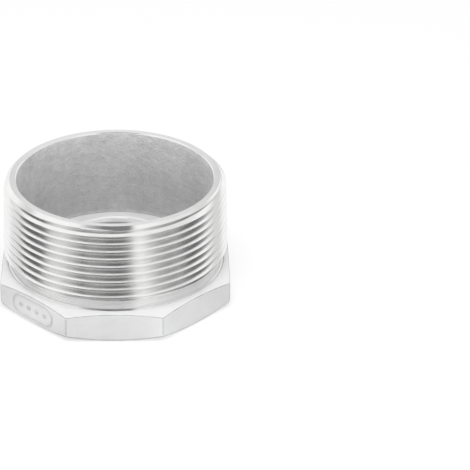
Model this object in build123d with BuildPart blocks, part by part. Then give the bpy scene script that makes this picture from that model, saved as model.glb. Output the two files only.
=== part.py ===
from build123d import *
from math import atan, cos, degrees, radians, tan
import os

# Reducing bushing: a 2 inch male taper pipe thread outside, a 1 inch female one inside.
# It stands on its eight-sided head. The face of the head is on Z = 0, the threaded end
# points up +Z, and one flat of the head faces -Y. Lengths are in millimetres.

# Head
flat_count = 8
across_flats = 61.5
flat_corner_radius = 0.8  # cast rounding where two flats meet
head_height = 8.05  # face to shoulder, in the middle of a flat
face_inset = 0.75  # from the middle of a flat in to the face, across its chamfer
chamfer_angle = 21.0  # slope of the face's chamfer and of the shoulder

# Threaded end
overall_height = 33.0
male_major_diameter = 59.4  # over the crests, in the plane of the rim
rim_chamfer = 1.25
neck_inset = 0.8  # from the crests at the rim in to the plain neck
neck_length = 2.4  # from the shoulder to the thread

# Taper pipe thread, right-handed, 11.5 turns to the inch
pitch = 25.4 / 11.5
taper = 1 / 32  # radius gained for each millimetre of length
flank_angle = 30.0  # each side of a thread, from square to the axis
root_flat = 0.3
thread_lead = 1.465  # the helix begins this far above the rim, over -X

# Cup
rim_wall = 3.4  # from the crests at the rim in to the cup
cup_edge = 0.3  # small chamfer on the cup's edge
cup_draft = 3.0  # slope of the cast wall, in degrees
floor_angle = 21.0  # the floor falls from the bore's upper edge to the wall
cup_corner = 1.5  # bevel where the wall meets the floor

# Bore, drilled to the crests of the female thread
bore_diameter = 29.4
bore_length = 12.5  # face to the bore's upper edge
mouth_diameter = 33.7  # the countersink, in the plane of the face
bore_edge = 0.5  # small chamfer on the upper edge

slope = tan(radians(chamfer_angle))
corner_radius = across_flats / 2 / cos(radians(180 / flat_count))
face_radius = across_flats / 2 - face_inset
rim_crest = male_major_diameter / 2
neck_radius = rim_crest - neck_inset
cup_radius = rim_crest - rim_wall
bore_radius = bore_diameter / 2
shoulder_top = head_height + slope * (across_flats / 2 - neck_radius)
thread_foot = shoulder_top + neck_length
flank = tan(radians(flank_angle))
thread_depth = (pitch - root_flat) / 2 / flank  # to a sharp crest
seat = root_flat / 2  # the ridge's foot goes this deep into the core
run_out = thread_foot + root_flat  # the ridge ends on a cone that clears the core's edge


def crest_radius(height):
    """Radius over the male crests at this height."""
    return rim_crest + taper * (overall_height - height)


with BuildPart() as thread:
    # one ridge wound about the taper, from above the rim to below the thread's foot
    helix_top = overall_height + thread_lead
    with BuildLine():
        helix = Helix(
            pitch,
            helix_top - thread_foot + pitch,
            crest_radius(helix_top),
            center=(0, 0, helix_top),
            direction=(0, 0, -1),
            cone_angle=degrees(atan(taper)),
        )
    with BuildSketch(Plane(origin=helix @ 0, x_dir=(-1, 0, 0), z_dir=helix % 0)):
        with BuildLine():
            ridge_foot = thread_depth + seat
            Polyline(
                (0, 0),
                (-ridge_foot, -ridge_foot * flank),
                (-ridge_foot, ridge_foot * flank),
                close=True,
            )
        make_face()
    sweep(is_frenet=True)

    # its two ends are turned away: a 45 degree chamfer and the rim above, the neck below
    with BuildSketch(Plane.XZ):
        inside = rim_crest - 2 * thread_depth
        outside = crest_radius(thread_foot) + thread_depth
        rim_radius = crest_radius(overall_height - rim_chamfer) - rim_chamfer
        with BuildLine():
            Polyline(
                (inside, overall_height),
                (rim_radius, overall_height),
                (outside, overall_height - (outside - rim_radius)),
                (outside, helix_top + pitch),
                (inside, helix_top + pitch),
                close=True,
            )
        make_face()
        with BuildLine():
            Polyline(
                (inside, run_out - (neck_radius - inside)),
                (outside, run_out + (outside - neck_radius)),
                (outside, thread_foot - 2 * pitch),
                (inside, thread_foot - 2 * pitch),
                close=True,
            )
        make_face()
    revolve(axis=Axis.Z, mode=Mode.SUBTRACT)

with BuildPart() as bushing:
    # the eight flats, with rounded corners
    with BuildSketch():
        RegularPolygon(
            across_flats / 2, flat_count, major_radius=False, rotation=180 / flat_count
        )
        fillet(vertices(), radius=flat_corner_radius)
    extrude(amount=shoulder_top)

    # one cone chamfers the corners on the face side, and one slopes up to the neck
    with BuildSketch(Plane.XZ):
        with BuildLine():
            Polyline(
                (0, 0),
                (face_radius, 0),
                (corner_radius, slope * (corner_radius - face_radius)),
                (corner_radius, shoulder_top - slope * (corner_radius - neck_radius)),
                (neck_radius, shoulder_top),
                (0, shoulder_top),
                close=True,
            )
        make_face()
    revolve(axis=Axis.Z, mode=Mode.INTERSECT)

    # the neck, and the core of the threaded end at the roots of its thread
    with BuildSketch(Plane.XZ):
        with BuildLine():
            Polyline(
                (0, shoulder_top),
                (neck_radius, shoulder_top),
                (neck_radius, thread_foot),
                (crest_radius(thread_foot) - thread_depth, thread_foot),
                (rim_crest - thread_depth, overall_height),
                (0, overall_height),
                close=True,
            )
        make_face()
    revolve(axis=Axis.Z)

    # the cast cup, with its cone floor
    with BuildSketch(Plane.XZ):
        with BuildLine():
            wall_slope = tan(radians(cup_draft))
            floor_slope = tan(radians(floor_angle))
            hub_height = bore_length + floor_slope * (bore_radius + bore_edge)
            # where the cone floor and the sloping wall would meet in a sharp corner
            floor_radius = (cup_radius - wall_slope * (overall_height - hub_height)) / (
                1 + wall_slope * floor_slope
            )
            floor_height = hub_height - floor_slope * floor_radius
            Polyline(
                (0, overall_height),
                (cup_radius + cup_edge, overall_height),
                (cup_radius, overall_height - cup_edge),
                (floor_radius, floor_height),
                (0, hub_height),
                close=True,
            )
        make_face()
        chamfer(
            vertices().sort_by_distance((floor_radius, 0, floor_height))[0],
            length=cup_corner,
        )
    revolve(axis=Axis.Z, mode=Mode.SUBTRACT)

    # the bore, with its countersink
    with BuildSketch(Plane.XZ):
        with BuildLine():
            mouth_radius = mouth_diameter / 2
            mouth_depth = mouth_radius - bore_radius
            Polyline(
                (0, 0),
                (mouth_radius, 0),
                (bore_radius, mouth_depth),
                (bore_radius, bore_length - bore_edge),
                (bore_radius + bore_edge, bore_length),
                (bore_radius + bore_edge, overall_height),
                (0, overall_height),
                close=True,
            )
        make_face()
    revolve(axis=Axis.Z, mode=Mode.SUBTRACT)

    add(thread.part)

bushing.part.label = "bushing"

os.makedirs("parts", exist_ok=True)
export_step(bushing.part, "parts/bushing.step")
print("volume", round(bushing.part.volume / 1000, 2), "cm3")
print(bushing.part.bounding_box())
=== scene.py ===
import bpy
from math import atan2, ceil, cos, floor, hypot, pi, radians, sin, sqrt, tan
from mathutils import Matrix, Vector


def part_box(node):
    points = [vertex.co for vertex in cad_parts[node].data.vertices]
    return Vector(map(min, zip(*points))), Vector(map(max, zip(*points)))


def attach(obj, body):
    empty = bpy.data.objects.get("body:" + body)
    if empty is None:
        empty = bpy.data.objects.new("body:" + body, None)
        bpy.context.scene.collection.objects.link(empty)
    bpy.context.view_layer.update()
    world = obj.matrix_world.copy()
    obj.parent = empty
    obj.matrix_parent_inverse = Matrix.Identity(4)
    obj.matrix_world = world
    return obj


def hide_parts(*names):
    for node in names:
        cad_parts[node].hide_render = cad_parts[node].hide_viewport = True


# A stainless reducing bushing, standing on its eight-sided cast head.
# Threads, rim and bore are turned bright, the head and the cup are left as cast.
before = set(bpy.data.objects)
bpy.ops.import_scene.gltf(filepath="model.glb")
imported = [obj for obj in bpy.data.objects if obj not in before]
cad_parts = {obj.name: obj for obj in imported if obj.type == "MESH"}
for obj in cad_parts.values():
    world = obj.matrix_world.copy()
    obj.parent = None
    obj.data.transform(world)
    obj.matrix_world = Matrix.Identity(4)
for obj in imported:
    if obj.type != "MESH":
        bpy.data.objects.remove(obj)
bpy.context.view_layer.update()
low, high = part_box("bushing")
print("frame loaded")

mm = 0.001
columns = 288  # round the whole turn, a multiple of 8 so that corners fall on one

threadForm = {
    "pitch": 25.4 / 11.5 * mm,
    "taper": 1 / 32,
    "crestFlat": 0.16 * mm,
    "rootFlat": 0.16 * mm,
    "flankRows": 5,
    "fullness": 0.36,  # how far worn crests round the flanks out
}

maleThread = {
    "crest": 29.7 * mm,  # radius at the rim
    "depth": 1.6 * mm,
    "crestHeight": 12.93 * mm,  # of a crest at the front
    "rimChamfer": 1.65 * mm,
    "neck": 28.9 * mm,
    "neckLength": 2.4 * mm,
}

femaleThread = {
    "crest": 14.7 * mm,  # radius halfway up the bore
    "depth": 1.5 * mm,
    "crestHeight": 3.6 * mm,  # of a crest at the front
    "mouth": 16.85 * mm,
    "edge": 0.5 * mm,
    "edgeSlope": 2.0,  # across for each step up
    "length": 12.5 * mm,
}

head = {
    "flat": (high.x - low.x) / 2,  # axis to the middle of a flat
    "height": 8.05 * mm,
    "faceInset": 0.75 * mm,
    "slope": tan(radians(21)),
    "cornerRadius": 0.8 * mm,
    "cornerColumns": 4,  # of the columns each side of a corner, those in its rounding
    "topRounding": 0.32 * mm,
    "lowRounding": 0.42 * mm,
    "cornerWear": 0.1,  # how much more the low edge is rounded towards the corners
    "groove": 0.5 * mm,  # left by the tool where the neck meets the shoulder
    "faceRings": [(0.5, 27 * mm), (0.2, 23 * mm), (0, 19 * mm)],  # share of the gathering, radius
    "edgeShadeBand": 0.5 * mm,  # how far inside a flat its painted dark edge may begin
    "cornerShadeFrom": 1.0793,  # times the way out to a flat, where a corner's painted shade begins
}

cup = {
    "radius": 26.3 * mm,
    "edge": 0.3 * mm,
    "draft": tan(radians(3)),
    "floorSlope": tan(radians(21)),
    "corner": 1.3 * mm,
    "floorRings": [20 * mm, 18.2 * mm],
    "floorFrom": 2.2 * mm,  # in from the cup's edge, where the floor's paler colour, painted light, begins
    "paintedShadeHeights": (12 * mm, 30 * mm),  # heights over which painted shade fades out: darkest at the first, none at the second
}

rimHeight = high.z
rimRadius = (
    maleThread["crest"]
    + threadForm["taper"] * maleThread["rimChamfer"]
    - maleThread["rimChamfer"]
)
shoulderTop = head["height"] + head["slope"] * (head["flat"] - maleThread["neck"])
threadFoot = shoulderTop + maleThread["neckLength"]
hubRadius = femaleThread["crest"] + femaleThread["edge"]
coneTop = femaleThread["length"] + cup["floorSlope"] * hubRadius  # where the floor's cone would end


# Threads

def threadDepth(height, angle, thread):
    # 0 on a crest, 1 in a root; crests climb one pitch each turn, right-handed
    turns = (height - thread["crestHeight"]) / threadForm["pitch"] - (angle + pi / 2) / (2 * pi)
    fromCrest = abs(turns - round(turns)) * threadForm["pitch"]
    flank = (threadForm["pitch"] - threadForm["crestFlat"] - threadForm["rootFlat"]) / 2
    share = min(max((fromCrest - threadForm["crestFlat"] / 2) / flank, 0), 1)
    return share * (1 - threadForm["fullness"] * (1 - share))


def maleRadius(height, angle):
    crest = maleThread["crest"] + threadForm["taper"] * (rimHeight - height)
    thread = crest - maleThread["depth"] * threadDepth(height, angle, maleThread)
    chamfer = rimRadius + rimHeight - height
    runOut = maleThread["neck"] + height - threadFoot
    return min(thread, chamfer, runOut)


def femaleRadius(height, angle):
    crest = femaleThread["crest"] + threadForm["taper"] * (femaleThread["length"] / 2 - height)
    thread = crest + femaleThread["depth"] * threadDepth(height, angle, femaleThread)
    countersink = femaleThread["mouth"] - height
    topEdge = hubRadius + femaleThread["edgeSlope"] * (height - femaleThread["length"])
    return max(thread, countersink, topEdge)


def hubEdge(angle):
    # where the female thread runs out through the cone of the cup's floor
    radius = hubRadius
    for step in range(12):
        height = coneTop - cup["floorSlope"] * radius
        radius = (radius + femaleRadius(height, angle)) / 2
    return radius, coneTop - cup["floorSlope"] * radius


# The head's outline

def roundedOctagon(fromCorner):
    half = pi / 8
    inset = head["flat"] - head["cornerRadius"]
    arcEnd = half - atan2(inset * tan(half), head["flat"])
    if abs(fromCorner) > arcEnd:
        return head["flat"] / cos(half - abs(fromCorner))
    toCentre = inset / cos(half)
    across = toCentre * sin(fromCorner)
    return toCentre * cos(fromCorner) + sqrt(head["cornerRadius"] ** 2 - across ** 2)


def gatheredAngle(angle):
    # moves columns into the rounding of each corner
    side = pi / 4
    corner = (floor(angle / side) + 0.5) * side
    offset = angle - corner
    step = abs(offset) / (2 * pi / columns)
    inset = head["flat"] - head["cornerRadius"]
    arcEnd = side / 2 - atan2(inset * tan(side / 2), head["flat"])
    near = head["cornerColumns"]
    if step <= near:
        moved = arcEnd * step / near
    else:
        moved = arcEnd + (side / 2 - arcEnd) * (step - near) / (columns / 16 - near)
    return corner, moved if offset >= 0 else -moved


def roundedEdge(before, corner, after, setback, count):
    # points on a soft edge at corner, between the directions to before and after
    start = corner + (before - corner).normalized() * setback
    end = corner + (after - corner).normalized() * setback
    points = []
    for step in range(count + 1):
        share = step / count
        points.append(start.lerp(corner, share).lerp(corner.lerp(end, share), share))
    return points


def headSection(angle):
    # from the thread's foot down the neck, over the head and in to the bore's mouth
    corner, moved = gatheredAngle(angle)
    outer = roundedOctagon(moved)
    neck, groove = maleThread["neck"], head["groove"]
    shoulder = shoulderTop - head["slope"] * (outer - neck)
    face = head["flat"] - head["faceInset"]
    chamfer = head["slope"] * (outer - face)
    lowRounding = head["lowRounding"] + head["cornerWear"] * (outer - head["flat"])
    # each row is a radius, a height, and its share of the gathering of columns
    rows = [(min(neck, maleRadius(threadFoot, angle)), threadFoot, 0)]
    rows += [(neck, threadFoot - 0.02 * mm, 0), (neck, (threadFoot + shoulderTop) / 2, 0)]
    rows += [(neck, shoulderTop, 0), (neck + groove, shoulderTop - groove, 0)]
    rows += [(neck + groove * 1.2, shoulderTop - head["slope"] * groove * 1.2, 0)]
    topEdge = roundedEdge(Vector((neck, shoulderTop)), Vector((outer, shoulder)),
                          Vector((outer, 0)), head["topRounding"], 4)
    start = neck + groove * 1.4
    for share in (0, 0.25, 0.5, 0.75):
        radius = start + (topEdge[0].x - start) * share
        rows += [(radius, shoulderTop - head["slope"] * (radius - neck), share)]
    rows += [(point.x, point.y, 1) for point in topEdge]
    rows += [(outer, chamfer + (shoulder - chamfer) * share, 1) for share in (0.7, 0.5, 0.35)]
    lowEdge = roundedEdge(Vector((outer, shoulder)), Vector((outer, chamfer)),
                          Vector((face, 0)), lowRounding, 4)
    rows += [(point.x, point.y, 1) for point in lowEdge]
    faceEdge = roundedEdge(lowEdge[-1], Vector((face, 0)), Vector((0, 0)), 0.2 * mm, 2)
    rows += [(point.x, point.y, 0.8) for point in faceEdge]
    rows += [(radius, 0, share) for share, radius in head["faceRings"]]
    rows += [(femaleThread["mouth"], 0, 0)]
    gathering = corner + moved - angle
    return [(radius, height, angle + share * gathering) for radius, height, share in rows]


def cupSection(angle):
    # from the rim's outer edge in, down the cast wall and up the cone to the bore
    rows = [(min(rimRadius, maleRadius(rimHeight, angle)), rimHeight)]
    edge = cup["radius"] + cup["edge"]
    rows += [((edge + rimRadius) / 2, rimHeight)]
    rows += [(edge, rimHeight), (cup["radius"] + 0.06 * mm, rimHeight - cup["edge"] * 0.6)]
    rows += [(cup["radius"], rimHeight - cup["edge"])]
    wallFoot = (cup["radius"] - cup["draft"] * (rimHeight - coneTop)) / (
        1 + cup["draft"] * cup["floorSlope"]
    )
    corner = Vector((wallFoot, coneTop - cup["floorSlope"] * wallFoot))
    top = Vector((cup["radius"], rimHeight - cup["edge"]))
    rows += [tuple(top.lerp(corner, share)) for share in (0.1, 0.3, 0.5, 0.7)]
    hub = Vector((hubRadius, coneTop - cup["floorSlope"] * hubRadius))
    rows += [(point.x, point.y) for point in roundedEdge(top, corner, hub, cup["corner"], 7)]
    rows += [(radius, coneTop - cup["floorSlope"] * radius) for radius in cup["floorRings"]]
    rows += [hubEdge(angle)]
    return [(radius, height, angle) for radius, height in rows]


# Modelling

def lineOfPoints(name, points):
    # a plane merged to one vertex, then extruded from point to point
    bpy.ops.object.select_all(action="DESELECT")
    bpy.ops.mesh.primitive_plane_add(size=mm)
    piece = bpy.context.object
    piece.name = name
    bpy.ops.object.mode_set(mode="EDIT")
    bpy.ops.mesh.select_all(action="SELECT")
    bpy.ops.mesh.merge(type="CENTER")
    bpy.ops.transform.translate(value=(points[0][0], 0, points[0][1]))
    for here, there in zip(points, points[1:]):
        step = (there[0] - here[0], 0, there[1] - here[1])
        bpy.ops.mesh.extrude_region_move(TRANSFORM_OT_translate={"value": step})
    return piece


def spunPiece(name, section):
    # a round of columns, each then moved to its own section
    start = section(0)
    piece = lineOfPoints(name, start)
    bpy.ops.mesh.select_all(action="SELECT")
    bpy.ops.mesh.spin(steps=columns, angle=2 * pi, center=(0, 0, 0), axis=(0, 0, 1))
    bpy.ops.mesh.select_all(action="SELECT")
    bpy.ops.mesh.remove_doubles(threshold=0.002 * mm)
    bpy.ops.object.mode_set(mode="OBJECT")
    sections = {}
    for vertex in piece.data.vertices:
        radius, height = hypot(vertex.co.x, vertex.co.y), vertex.co.z
        column = round(atan2(vertex.co.y, vertex.co.x) / (2 * pi) * columns) % columns
        if column not in sections:
            sections[column] = section(column * 2 * pi / columns)
        row = min(range(len(start)), key=lambda k: hypot(start[k][0] - radius, start[k][1] - height))
        newRadius, newHeight, newAngle = sections[column][row]
        vertex.co = (newRadius * cos(newAngle), newRadius * sin(newAngle), newHeight)
    return piece


def woundPiece(name, thread, bottom, top, surface):
    # one pitch of the thread, wound round once, arrayed upward, then cut to its ends
    pitch = threadForm["pitch"]
    crestHalf, rootHalf = threadForm["crestFlat"] / 2, threadForm["rootFlat"] / 2
    rows = threadForm["flankRows"]
    flank = [crestHalf + (pitch / 2 - rootHalf - crestHalf) * k / rows for k in range(rows + 1)]
    offsets = [-crestHalf] + flank + [pitch - offset for offset in reversed(flank)]
    overX = thread["crestHeight"] + pitch / 4
    firstCrest = overX - ceil((overX - bottom) / pitch) * pitch
    radius = thread["crest"]
    piece = lineOfPoints(name, [(radius, firstCrest + offset) for offset in offsets])
    bpy.ops.mesh.select_all(action="SELECT")
    bpy.ops.mesh.screw(steps=columns, turns=1, center=(0, 0, 0), axis=(0, 0, -1))
    bpy.ops.object.mode_set(mode="OBJECT")
    turns = piece.modifiers.new("turns", "ARRAY")
    turns.use_relative_offset = False
    turns.use_constant_offset = True
    turns.constant_offset_displace = (0, 0, pitch)
    turns.count = ceil((top - firstCrest) / pitch) + 2
    bpy.ops.object.modifier_apply(modifier="turns")
    for vertex in piece.data.vertices:
        column = round(atan2(vertex.co.y, vertex.co.x) / (2 * pi) * columns)
        angle = column * 2 * pi / columns
        newRadius, newHeight = surface(min(max(vertex.co.z, bottom), top), angle)
        vertex.co = (newRadius * cos(angle), newRadius * sin(angle), newHeight)
    bpy.ops.object.mode_set(mode="EDIT")
    bpy.ops.mesh.select_all(action="SELECT")
    bpy.ops.mesh.remove_doubles(threshold=0.002 * mm)
    bpy.ops.mesh.dissolve_degenerate(threshold=0.001 * mm)
    bpy.ops.object.mode_set(mode="OBJECT")
    return piece


def maleSurface(height, angle):
    return maleRadius(height, angle), height


def femaleSurface(height, angle):
    radius = femaleRadius(height, angle)
    if height > coneTop - cup["floorSlope"] * radius:
        return hubEdge(angle)
    return radius, height


headPart = spunPiece("head", headSection)
cupPart = spunPiece("cup", cupSection)
print("head and cup modelled")
malePart = woundPiece("maleThread", maleThread, threadFoot, rimHeight, maleSurface)
femalePart = woundPiece("femaleThread", femaleThread, 0, femaleThread["length"], femaleSurface)
print("threads wound")


# Raised marks on two flats: a plain frame with plain dots in it

mark = {
    "length": 15.4 * mm,
    "height": 6.0 * mm,
    "centre": 4.4 * mm,
    "bead": 0.42 * mm,
    "raised": 0.28 * mm,
    "sunk": 0.25 * mm,
    "softness": 0.1 * mm,
    "turns": [radians(-135), radians(45)],  # the flats that carry one
    "dots": [-4.5 * mm, -1.5 * mm, 1.5 * mm, 4.5 * mm],
    "dotRadius": 0.65 * mm,
}


def ontoFlat(piece, turn, along):
    # stands a mark that was made lying flat up against one flat of the head
    out = Vector((cos(turn), sin(turn), 0))
    side = Vector((-sin(turn), cos(turn), 0))
    piece.rotation_euler = (pi / 2, 0, turn + pi / 2)
    piece.location = out * (head["flat"] + (mark["raised"] - mark["sunk"]) / 2) + side * along
    piece.location.z = mark["centre"]
    soften = piece.modifiers.new("soften", "BEVEL")
    soften.width = mark["softness"]
    soften.segments = 2
    bpy.ops.object.modifier_apply(modifier="soften")
    return piece


def markFrame(turn):
    bpy.ops.object.select_all(action="DESELECT")
    bpy.ops.mesh.primitive_plane_add(size=1)
    piece = bpy.context.object
    piece.name = "markFrame"
    bpy.ops.object.mode_set(mode="EDIT")
    bpy.ops.mesh.select_all(action="SELECT")
    bpy.ops.transform.resize(value=(mark["length"], mark["height"], 1))
    bpy.ops.mesh.bevel(offset=mark["height"] * 0.49, segments=9, affect="VERTICES")
    bpy.ops.mesh.select_all(action="SELECT")
    bpy.ops.mesh.inset(thickness=mark["bead"], depth=0)
    bpy.ops.mesh.delete(type="FACE")
    bpy.ops.object.mode_set(mode="OBJECT")
    thicken = piece.modifiers.new("thicken", "SOLIDIFY")
    thicken.thickness = mark["raised"] + mark["sunk"]
    thicken.offset = 0
    bpy.ops.object.modifier_apply(modifier="thicken")
    return ontoFlat(piece, turn, 0)


def markDot(turn, along):
    bpy.ops.object.select_all(action="DESELECT")
    bpy.ops.mesh.primitive_cylinder_add(vertices=20, radius=mark["dotRadius"],
                                        depth=mark["raised"] + mark["sunk"])
    piece = bpy.context.object
    piece.name = "markDot"
    return ontoFlat(piece, turn, along)


markParts = [markFrame(turn) for turn in mark["turns"]]
markParts += [markDot(turn, along) for turn in mark["turns"] for along in mark["dots"]]
print("marks modelled")


# Finishes, with painted shade and painted light on some

skin = {
    "ringsAlong": 5200.0,  # noise cells for each metre out or up, across the tool's rings
    "ringsRound": 2.5,  # and for each radius across the axis, so that rings run round
    "turnedClouds": 260.0,
    "castClouds": 130.0,
    "coarseGrain": 0.35,  # of the fine grain's scale
}


def nodeGroup(name, inputs, outputs):
    group = bpy.data.node_groups.new(name, "ShaderNodeTree")
    for socket, kind, value in inputs:
        made = group.interface.new_socket(name=socket, in_out="INPUT", socket_type=kind)
        if value is not None:
            made.default_value = value
    for socket, kind in outputs:
        group.interface.new_socket(name=socket, in_out="OUTPUT", socket_type=kind)
    start = group.nodes.new("NodeGroupInput")
    end = group.nodes.new("NodeGroupOutput")
    return group, start.outputs, end.inputs


def mathNode(tree, operation, *values, clamp=False):
    node = tree.nodes.new("ShaderNodeMath")
    node.operation = operation
    node.use_clamp = clamp
    for socket, value in zip(node.inputs, values):
        if isinstance(value, (int, float)):
            socket.default_value = value
        else:
            tree.links.new(value, socket)
    return node.outputs[0]


def noiseNode(tree, vector, scale, detail=2.0, roughness=0.5):
    node = tree.nodes.new("ShaderNodeTexNoise")
    tree.links.new(vector, node.inputs["Vector"])
    if isinstance(scale, (int, float)):
        node.inputs["Scale"].default_value = scale
    else:
        tree.links.new(scale, node.inputs["Scale"])
    node.inputs["Detail"].default_value = detail
    node.inputs["Roughness"].default_value = roughness
    return node.outputs["Fac"]


def spreadNode(tree, value, low, high):
    # noise lies near a half, so its middle is spread out to low and high
    node = tree.nodes.new("ShaderNodeMapRange")
    tree.links.new(value, node.inputs["Value"])
    node.inputs["From Min"].default_value = 0.3
    node.inputs["From Max"].default_value = 0.7
    tree.links.new(low, node.inputs["To Min"])
    tree.links.new(high, node.inputs["To Max"])
    return node.outputs["Result"]


def turnedMarksGroup():
    # rings left by the tool, stretched round the axis, without a seam
    group, start, end = nodeGroup(
        "turnedMarks",
        [("Vector", "NodeSocketVector", None), ("Smooth", "NodeSocketFloat", 0.1),
         ("Rough", "NodeSocketFloat", 0.3), ("Pale", "NodeSocketFloat", 1.0),
         ("Dark", "NodeSocketFloat", 0.8), ("Depth", "NodeSocketFloat", 0.012 * mm)],
        [("Roughness", "NodeSocketFloat"), ("Height", "NodeSocketFloat"), ("Tone", "NodeSocketFloat")])
    split = group.nodes.new("ShaderNodeSeparateXYZ")
    group.links.new(start["Vector"], split.inputs[0])
    x, y, z = split.outputs
    radius = mathNode(group, "SQRT", mathNode(group, "ADD", mathNode(group, "MULTIPLY", x, x),
                                              mathNode(group, "MULTIPLY", y, y)))
    along = mathNode(group, "ADD", mathNode(group, "MULTIPLY", radius, skin["ringsAlong"]),
                     mathNode(group, "MULTIPLY", z, skin["ringsAlong"]))
    joined = group.nodes.new("ShaderNodeCombineXYZ")
    for socket, side in zip(joined.inputs, (x, y)):
        share = mathNode(group, "DIVIDE", side, radius)
        group.links.new(mathNode(group, "MULTIPLY", share, skin["ringsRound"]), socket)
    group.links.new(along, joined.inputs[2])
    rings = noiseNode(group, joined.outputs[0], 1.0, 3.0, 0.6)
    clouds = noiseNode(group, start["Vector"], skin["turnedClouds"], 2.0)
    group.links.new(spreadNode(group, rings, start["Smooth"], start["Rough"]), end["Roughness"])
    group.links.new(mathNode(group, "MULTIPLY", rings, start["Depth"]), end["Height"])
    mixed = mathNode(group, "ADD", mathNode(group, "MULTIPLY", rings, 0.6),
                     mathNode(group, "MULTIPLY", clouds, 0.4))
    group.links.new(spreadNode(group, mixed, start["Dark"], start["Pale"]), end["Tone"])
    return group


def castGrainGroup():
    # the fine pitted skin of a blasted casting, with faint broad clouds; its last input, the tone at the
    # cup's foot, paints shade that darkens towards the foot
    group, start, end = nodeGroup(
        "castGrain",
        [("Vector", "NodeSocketVector", None), ("Grain", "NodeSocketFloat", 1500.0),
         ("Pale", "NodeSocketFloat", 1.0), ("Dark", "NodeSocketFloat", 0.85),
         ("Smooth", "NodeSocketFloat", 0.45), ("Rough", "NodeSocketFloat", 0.65),
         ("Depth", "NodeSocketFloat", 0.05 * mm), ("ShadeAtFoot", "NodeSocketFloat", 1.0)],
        [("Roughness", "NodeSocketFloat"), ("Height", "NodeSocketFloat"), ("Tone", "NodeSocketFloat")])
    fine = noiseNode(group, start["Vector"], start["Grain"], 3.0, 0.65)
    coarseScale = mathNode(group, "MULTIPLY", start["Grain"], skin["coarseGrain"])
    coarse = noiseNode(group, start["Vector"], coarseScale, 2.0)
    clouds = noiseNode(group, start["Vector"], skin["castClouds"], 2.0)
    height = mathNode(group, "ADD", mathNode(group, "MULTIPLY", fine, 0.5),
                      mathNode(group, "MULTIPLY", coarse, 0.5))
    tone = mathNode(group, "ADD", mathNode(group, "MULTIPLY", height, 0.6),
                    mathNode(group, "MULTIPLY", clouds, 0.4))
    group.links.new(mathNode(group, "MULTIPLY", height, start["Depth"]), end["Height"])
    split = group.nodes.new("ShaderNodeSeparateXYZ")
    group.links.new(start["Vector"], split.inputs[0])
    footShade = group.nodes.new("ShaderNodeMapRange")  # painted shade: darker towards the foot of the cup
    group.links.new(split.outputs["Z"], footShade.inputs["Value"])
    footShade.inputs["From Min"].default_value = cup["paintedShadeHeights"][0]
    footShade.inputs["From Max"].default_value = cup["paintedShadeHeights"][1]
    group.links.new(start["ShadeAtFoot"], footShade.inputs["To Min"])
    shade = spreadNode(group, tone, start["Dark"], start["Pale"])
    group.links.new(mathNode(group, "MULTIPLY", shade, footShade.outputs["Result"]), end["Tone"])
    group.links.new(spreadNode(group, clouds, start["Smooth"], start["Rough"]), end["Roughness"])
    return group


turnedMarks = turnedMarksGroup()
castGrain = castGrainGroup()

turnedFinish = {
    "colour": (0.95, 0.95, 0.945),
    "metallic": 1.0,
    "anisotropic": 1.0,
    "anisotropicRotation": 0.25,  # sharp round the axis, spread along it
    "marks": {"Smooth": 0.1, "Rough": 0.18, "Dark": 0.92, "Pale": 1.0, "Depth": 0.006 * mm},
}

# a darker copy of the turned steel for the groove: painted shade
grooveShadeFinish = {**turnedFinish, "colour": (0.8, 0.8, 0.795)}

neckFinish = {
    "colour": (0.93, 0.93, 0.925),
    "metallic": 0.45,
    "anisotropic": 0.9,
    "anisotropicRotation": 0.25,
    "marks": {"Smooth": 0.25, "Rough": 0.35, "Dark": 0.9, "Pale": 1.0, "Depth": 0.012 * mm},
}

boreFinish = {
    "colour": (0.85, 0.85, 0.845),
    "metallic": 0.8,
    "anisotropic": 0.9,
    "anisotropicRotation": 0.25,
    "marks": {"Smooth": 0.3, "Rough": 0.4, "Dark": 0.85, "Pale": 1.0, "Depth": 0.02 * mm},
}

castFinish = {
    "colour": (0.87, 0.87, 0.875),
    "metallic": 0.25,
    "marks": {"Grain": 1500.0, "Smooth": 0.42, "Rough": 0.58, "Dark": 0.93, "Pale": 1.0,
              "Depth": 0.05 * mm},
}

# the rounded edges of the flats: a darker, coarser copy of the cast steel, the rough edge's grain with
# painted shade
edgeShadeFinish = {
    "colour": (0.7, 0.7, 0.705),
    "metallic": 0.25,
    "marks": {"Grain": 900.0, "Smooth": 0.42, "Rough": 0.58, "Dark": 0.5, "Pale": 1.0,
              "Depth": 0.1 * mm},
}

# the rounded corners between flats and the raised marks: a darker copy of the cast steel, painted shade
cornerShadeFinish = {
    "colour": (0.74, 0.74, 0.745),
    "metallic": 0.25,
    "marks": {"Grain": 900.0, "Smooth": 0.42, "Rough": 0.58, "Dark": 0.76, "Pale": 1.0,
              "Depth": 0.05 * mm},
}

# the inside of the cup: a darker copy of the cast steel, painted shade, and darker still towards its foot
cupShadeFinish = {
    "colour": (0.83, 0.83, 0.83),
    "metallic": 0.35,
    "marks": {"Grain": 1500.0, "Smooth": 0.45, "Rough": 0.6, "Dark": 0.72, "Pale": 1.0,
              "Depth": 0.6 * mm, "ShadeAtFoot": 0.68},
}

# the cup's floor, which faces up: a paler copy of the cast steel, painted light
cupFloorLitFinish = {
    "colour": (0.95, 0.95, 0.95),
    "metallic": 0.2,
    "marks": {"Grain": 1300.0, "Smooth": 0.42, "Rough": 0.58, "Dark": 0.88, "Pale": 1.0,
              "Depth": 0.1 * mm},
}


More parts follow.
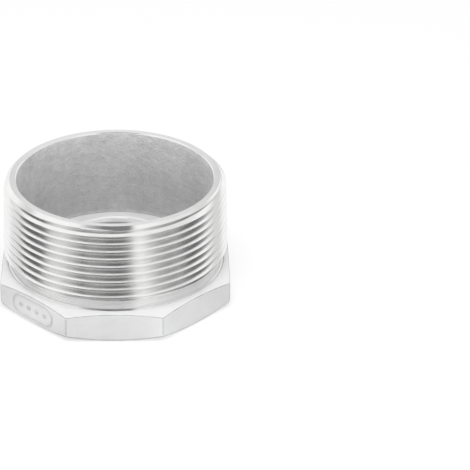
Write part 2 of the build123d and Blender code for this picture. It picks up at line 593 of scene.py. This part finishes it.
def steelMaterial(name, finish, marksGroup):
    material = bpy.data.materials.new(name)
    material.use_nodes = True
    tree = material.node_tree
    shader = tree.nodes["Principled BSDF"]
    shader.inputs["Metallic"].default_value = finish["metallic"]
    shader.inputs["Anisotropic"].default_value = finish.get("anisotropic", 0)
    shader.inputs["Anisotropic Rotation"].default_value = finish.get("anisotropicRotation", 0)
    place = tree.nodes.new("ShaderNodeTexCoord")
    marks = tree.nodes.new("ShaderNodeGroup")
    marks.node_tree = marksGroup
    tree.links.new(place.outputs["Object"], marks.inputs["Vector"])
    for socket, value in finish["marks"].items():
        marks.inputs[socket].default_value = value
    tone = tree.nodes.new("ShaderNodeMix")
    tone.data_type = "RGBA"
    tone.blend_type = "MULTIPLY"
    tone.inputs["Factor"].default_value = 1
    tone.inputs["A"].default_value = (*finish["colour"], 1)
    tree.links.new(marks.outputs["Tone"], tone.inputs["B"])
    tree.links.new(tone.outputs["Result"], shader.inputs["Base Color"])
    tree.links.new(marks.outputs["Roughness"], shader.inputs["Roughness"])
    bump = tree.nodes.new("ShaderNodeBump")
    bump.inputs["Distance"].default_value = 1  # heights are in metres
    tree.links.new(marks.outputs["Height"], bump.inputs["Height"])
    tree.links.new(bump.outputs["Normal"], shader.inputs["Normal"])
    return material


turnedSteel = steelMaterial("turnedSteel", turnedFinish, turnedMarks)
grooveShadeSteel = steelMaterial("grooveShadeSteel", grooveShadeFinish, turnedMarks)
neckSteel = steelMaterial("neckSteel", neckFinish, turnedMarks)
boreSteel = steelMaterial("boreSteel", boreFinish, turnedMarks)
castSteel = steelMaterial("castSteel", castFinish, castGrain)
edgeShadeSteel = steelMaterial("edgeShadeSteel", edgeShadeFinish, castGrain)
cornerShadeSteel = steelMaterial("cornerShadeSteel", cornerShadeFinish, castGrain)
cupShadeSteel = steelMaterial("cupShadeSteel", cupShadeFinish, castGrain)
cupFloorLitSteel = steelMaterial("cupFloorLitSteel", cupFloorLitFinish, castGrain)


def finishFaces(part, finishOf):
    # finishOf takes a face's radius and height, and how far it faces up or down
    used = []
    part.data.materials.clear()
    for face in part.data.polygons:
        material = finishOf(hypot(face.center.x, face.center.y), face.center.z, abs(face.normal.z))
        if material not in used:
            used.append(material)
            part.data.materials.append(material)
        face.material_index = used.index(material)


def headFinish(radius, height, upward):
    if height > shoulderTop:
        return neckSteel
    # the groove takes the darker steel of painted shade
    if height > head["height"] and radius < maleThread["neck"] + head["groove"] * 1.15:
        return grooveShadeSteel
    # the rounded edges of the flats get painted shade
    if radius > head["flat"] - head["edgeShadeBand"] and 0.3 < upward < 0.8:
        return edgeShadeSteel
    # the rounded corners between flats get painted shade
    if radius > head["flat"] * head["cornerShadeFrom"] and upward < 0.1:
        return cornerShadeSteel
    return castSteel


def cupFinishOf(radius, height, upward):
    if height > rimHeight - cup["edge"]:
        return turnedSteel
    return cupFloorLitSteel if radius < cup["radius"] - cup["floorFrom"] else cupShadeSteel


def boreFinishOf(radius, height, upward):
    onEdge = height > femaleThread["length"] - femaleThread["edge"] and upward > 0.6
    return turnedSteel if onEdge else boreSteel


finishFaces(headPart, headFinish)
finishFaces(cupPart, cupFinishOf)
finishFaces(malePart, lambda radius, height, upward: turnedSteel)
finishFaces(femalePart, boreFinishOf)

# the raised marks take the corners' darker steel, painted shade that outlines them
for part in markParts:
    finishFaces(part, lambda radius, height, upward: cornerShadeSteel)

bpy.ops.object.select_all(action="DESELECT")
for part in (headPart, cupPart, femalePart, *markParts, malePart):
    part.select_set(True)
bpy.context.view_layer.objects.active = malePart
bpy.ops.object.join()
fitting = malePart
fitting.name = "fitting"
bpy.ops.object.mode_set(mode="EDIT")
bpy.ops.mesh.select_all(action="SELECT")
bpy.ops.mesh.remove_doubles(threshold=0.003 * mm)
bpy.ops.mesh.normals_make_consistent(inside=False)
bpy.ops.object.mode_set(mode="OBJECT")
bpy.ops.object.shade_smooth_by_angle(angle=radians(28))
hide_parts("bushing")
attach(fitting, "root")
print("fitting joined:", len(fitting.data.polygons), "faces")

# Floor, light and camera

studio = {
    # tone of what turned steel mirrors, by the way its surface faces: degrees rightward of the front
    "floorTones": [(-90, 0.95), (-76, 0.9), (-71, 0.75), (-66, 0.25), (-60, 0.1), (-50, 0.1),
                   (-44, 0.17), (-41.5, 0.52), (-38, 0.78), (-31, 0.8), (-22, 0.42), (-18, 0.22),
                   (-14, 0.32), (-10, 0.3), (-6, 0.24), (-3, 0.16), (3, 0.16), (6, 0.22), (8.5, 0.45),
                   (12, 0.9), (15, 1.0), (19, 0.78), (23, 0.52), (31, 0.33), (36, 0.38), (40, 0.28),
                   (44, 0.16), (50, 0.12), (56, 0.2), (61, 0.35), (67, 0.6), (90, 0.7)],
    "horizonTones": [(-90, 1.0), (24, 1.0), (30, 0.88), (48, 0.88), (54, 1.0), (90, 1.0)],
    "floorSpread": 1.54,  # turn round the set for each degree of the surface
    "horizonSpread": 2.0,
    # cards that darken the sky between some degrees up: what the rim and the chamfers mirror
    "skyCards": [
        {"edges": [45, 52, 67, 73], "spread": 3.1,
         "tones": [(-90, 0.9), (-60, 0.9), (-43, 0.9), (-36, 1.0), (-17, 1.0), (-13, 0.45),
                   (-7, 0.24), (-5, 0.15), (7, 0.15), (10, 1.0), (25, 1.0), (35, 0.85), (90, 0.9)]},
        {"edges": [22, 27, 34, 39], "spread": 2.0,
         "tones": [(-90, 0.72), (-66, 0.8), (-61, 0.7), (-51, 0.7), (-47, 1.0),
                   (30, 1.0), (40, 0.7), (60, 0.7), (90, 0.68)]},
    ],
    "floorPaint": 0.9,
    "floorGlow": 0.6,  # share of the floor that the camera sees as plain white
    "floorBare": (20 * mm, 30 * mm),  # the tones begin between these, out from the axis
    "floorDrop": 0.02 * mm,  # keeps the floor clear of the face that stands on it
    "skyStrength": 0.69,
    "lampPlace": (0, -0.3, 0.85),
    "lampSize": 0.6,
    "lampPower": 4.9,
}


def towardsGroup():
    # way round the set from the camera's side, as a share of the surface's half turn
    group, start, end = nodeGroup("towards", [("Vector", "NodeSocketVector", None),
                                              ("Spread", "NodeSocketFloat", 1.0)],
                                  [("Share", "NodeSocketFloat")])
    split = group.nodes.new("ShaderNodeSeparateXYZ")
    group.links.new(start["Vector"], split.inputs[0])
    x, y, z = split.outputs
    turn = mathNode(group, "ARCTAN2", x, mathNode(group, "MULTIPLY", y, -1.0))
    share = mathNode(group, "DIVIDE", turn, mathNode(group, "MULTIPLY", start["Spread"], pi))
    group.links.new(mathNode(group, "ADD", share, 0.5, clamp=True), end["Share"])
    return group


towards = towardsGroup()


def cardTones(tree, vector, spread, tones):
    node = tree.nodes.new("ShaderNodeGroup")
    node.node_tree = towards
    tree.links.new(vector, node.inputs["Vector"])
    node.inputs["Spread"].default_value = spread
    ramp = tree.nodes.new("ShaderNodeValToRGB")
    tree.links.new(node.outputs["Share"], ramp.inputs["Fac"])
    stops = ramp.color_ramp.elements
    stops.remove(stops[1])
    for number, (facing, tone) in enumerate(tones):
        place = facing / 180 + 0.5
        stop = stops[0] if number == 0 else stops.new(place)
        stop.position = place
        stop.color = (tone, tone, tone, 1)
    return ramp.outputs["Color"]


def mixShaders(tree, share, first, second):
    node = tree.nodes.new("ShaderNodeMixShader")
    tree.links.new(share, node.inputs["Fac"])
    tree.links.new(first, node.inputs[1])
    tree.links.new(second, node.inputs[2])
    return node.outputs["Shader"]


def edgeNode(tree, value, outside, inside):
    node = tree.nodes.new("ShaderNodeMapRange")
    node.interpolation_type = "SMOOTHSTEP"
    tree.links.new(value, node.inputs["Value"])
    node.inputs["From Min"].default_value = outside
    node.inputs["From Max"].default_value = inside
    return node.outputs["Result"]


def floorMaterial():
    # pale to the eye, toned only in what glossy metal mirrors of it
    material = bpy.data.materials.new("paleFloor")
    material.use_nodes = True
    tree = material.node_tree
    paint = tree.nodes["Principled BSDF"]
    paint.inputs["Base Color"].default_value = (*[studio["floorPaint"]] * 3, 1)
    paint.inputs["Specular IOR Level"].default_value = 0
    place = tree.nodes.new("ShaderNodeTexCoord")
    lightPath = tree.nodes.new("ShaderNodeLightPath")
    glow = tree.nodes.new("ShaderNodeEmission")
    mirrored = tree.nodes.new("ShaderNodeEmission")
    tones = cardTones(tree, place.outputs["Object"], studio["floorSpread"], studio["floorTones"])
    reach = tree.nodes.new("ShaderNodeVectorMath")
    reach.operation = "LENGTH"
    tree.links.new(place.outputs["Object"], reach.inputs[0])
    outside = tree.nodes.new("ShaderNodeMix")  # the floor under the part stays pale
    outside.data_type = "RGBA"
    tree.links.new(edgeNode(tree, reach.outputs["Value"], *studio["floorBare"]), outside.inputs["Factor"])
    outside.inputs["A"].default_value = (1, 1, 1, 1)
    tree.links.new(tones, outside.inputs["B"])
    tree.links.new(outside.outputs["Result"], mirrored.inputs["Color"])
    seenGlow = mathNode(tree, "MULTIPLY", lightPath.outputs["Is Camera Ray"], studio["floorGlow"])
    pale = mixShaders(tree, seenGlow, paint.outputs["BSDF"], glow.outputs["Emission"])
    surface = mixShaders(tree, lightPath.outputs["Is Glossy Ray"], pale, mirrored.outputs["Emission"])
    tree.links.new(surface, tree.nodes["Material Output"].inputs["Surface"])
    material.cycles.emission_sampling = "NONE"
    return material


bpy.ops.object.select_all(action="DESELECT")
bpy.ops.mesh.primitive_plane_add(size=4)
groundPlane = bpy.context.object
groundPlane.name = "studioFloor"
bpy.ops.object.mode_set(mode="EDIT")
bpy.ops.transform.translate(value=(0, 0, -studio["floorDrop"]))
bpy.ops.object.mode_set(mode="OBJECT")
groundPlane.data.materials.append(floorMaterial())


def studioWorld():
    # white all round, with toned cards only in what glossy metal mirrors
    world = bpy.data.worlds.new("studio")
    world.use_nodes = True
    tree = world.node_tree
    plain = tree.nodes["Background"]
    plain.inputs["Color"].default_value = (1, 1, 1, 1)
    plain.inputs["Strength"].default_value = studio["skyStrength"]
    place = tree.nodes.new("ShaderNodeTexCoord")
    split = tree.nodes.new("ShaderNodeSeparateXYZ")
    tree.links.new(place.outputs["Generated"], split.inputs[0])
    sky = cardTones(tree, place.outputs["Generated"], studio["horizonSpread"], studio["horizonTones"])
    for card in studio["skyCards"]:
        tones = cardTones(tree, place.outputs["Generated"], card["spread"], card["tones"])
        rise, fullRise, fullFall, fall = [sin(radians(edge)) for edge in card["edges"]]
        darkened = tree.nodes.new("ShaderNodeMix")
        darkened.data_type = "RGBA"
        darkened.blend_type = "MULTIPLY"
        cover = mathNode(tree, "MULTIPLY", edgeNode(tree, split.outputs["Z"], rise, fullRise),
                         edgeNode(tree, split.outputs["Z"], fall, fullFall))
        tree.links.new(cover, darkened.inputs["Factor"])
        tree.links.new(sky, darkened.inputs["A"])
        tree.links.new(tones, darkened.inputs["B"])
        sky = darkened.outputs["Result"]
    mirrored = tree.nodes.new("ShaderNodeBackground")
    tree.links.new(sky, mirrored.inputs["Color"])
    lightPath = tree.nodes.new("ShaderNodeLightPath")
    surface = mixShaders(tree, lightPath.outputs["Is Glossy Ray"], plain.outputs["Background"],
                         mirrored.outputs["Background"])
    tree.links.new(surface, tree.nodes["World Output"].inputs["Surface"])
    return world


bpy.context.scene.world = studioWorld()

bpy.ops.object.light_add(type="AREA", location=studio["lampPlace"])
softBox = bpy.context.object
softBox.name = "softBox"
softBox.rotation_euler = Vector(studio["lampPlace"]).to_track_quat("Z", "Y").to_euler()
softBox.visible_glossy = False
softBox.data.shape = "DISK"
softBox.data.size = studio["lampSize"]
softBox.data.energy = studio["lampPower"]

photoSize = 470
view = {
    "distance": 600.75 * mm,
    "elevation": radians(28.554),
    "turn": radians(1.113),  # past square to the front flat
    "roll": radians(-0.710),
    "focal": 2217.6,  # pixels
    "target": Vector((0, 0, 18.3 * mm)),
    "targetPixel": (115.6, 224.3),
}


def aimedCamera(view):
    # placed on its sphere, then turned so that the target falls on its pixel
    back = Vector((sin(view["turn"]) * cos(view["elevation"]),
                   -cos(view["turn"]) * cos(view["elevation"]), sin(view["elevation"])))
    right = Vector((cos(view["turn"]), sin(view["turn"]), 0))
    up = back.cross(right)
    facing = Matrix((right, up, back)).transposed()
    across = view["targetPixel"][0] - photoSize / 2
    down = view["targetPixel"][1] - photoSize / 2
    acrossLevel = cos(view["roll"]) * across + sin(view["roll"]) * down
    downLevel = -sin(view["roll"]) * across + cos(view["roll"]) * down
    toTarget = Vector((acrossLevel, -downLevel, -view["focal"])).normalized()
    swing = Vector((0, 0, -1)).rotation_difference(toTarget).to_matrix()
    spin = Matrix.Rotation(view["roll"], 3, "Z")
    lens = bpy.data.cameras.new("camera")
    lens.sensor_width = 36
    lens.lens = view["focal"] / photoSize * lens.sensor_width
    lens.clip_start = 0.01
    camera = bpy.data.objects.new("camera", lens)
    bpy.context.scene.collection.objects.link(camera)
    turned = facing @ swing.inverted() @ spin
    camera.matrix_world = Matrix.Translation(view["target"] + back * view["distance"]) @ turned.to_4x4()
    return camera


bpy.context.scene.camera = aimedCamera(view)
bpy.context.scene.view_settings.view_transform = "Standard"
print("floor, light and camera set")
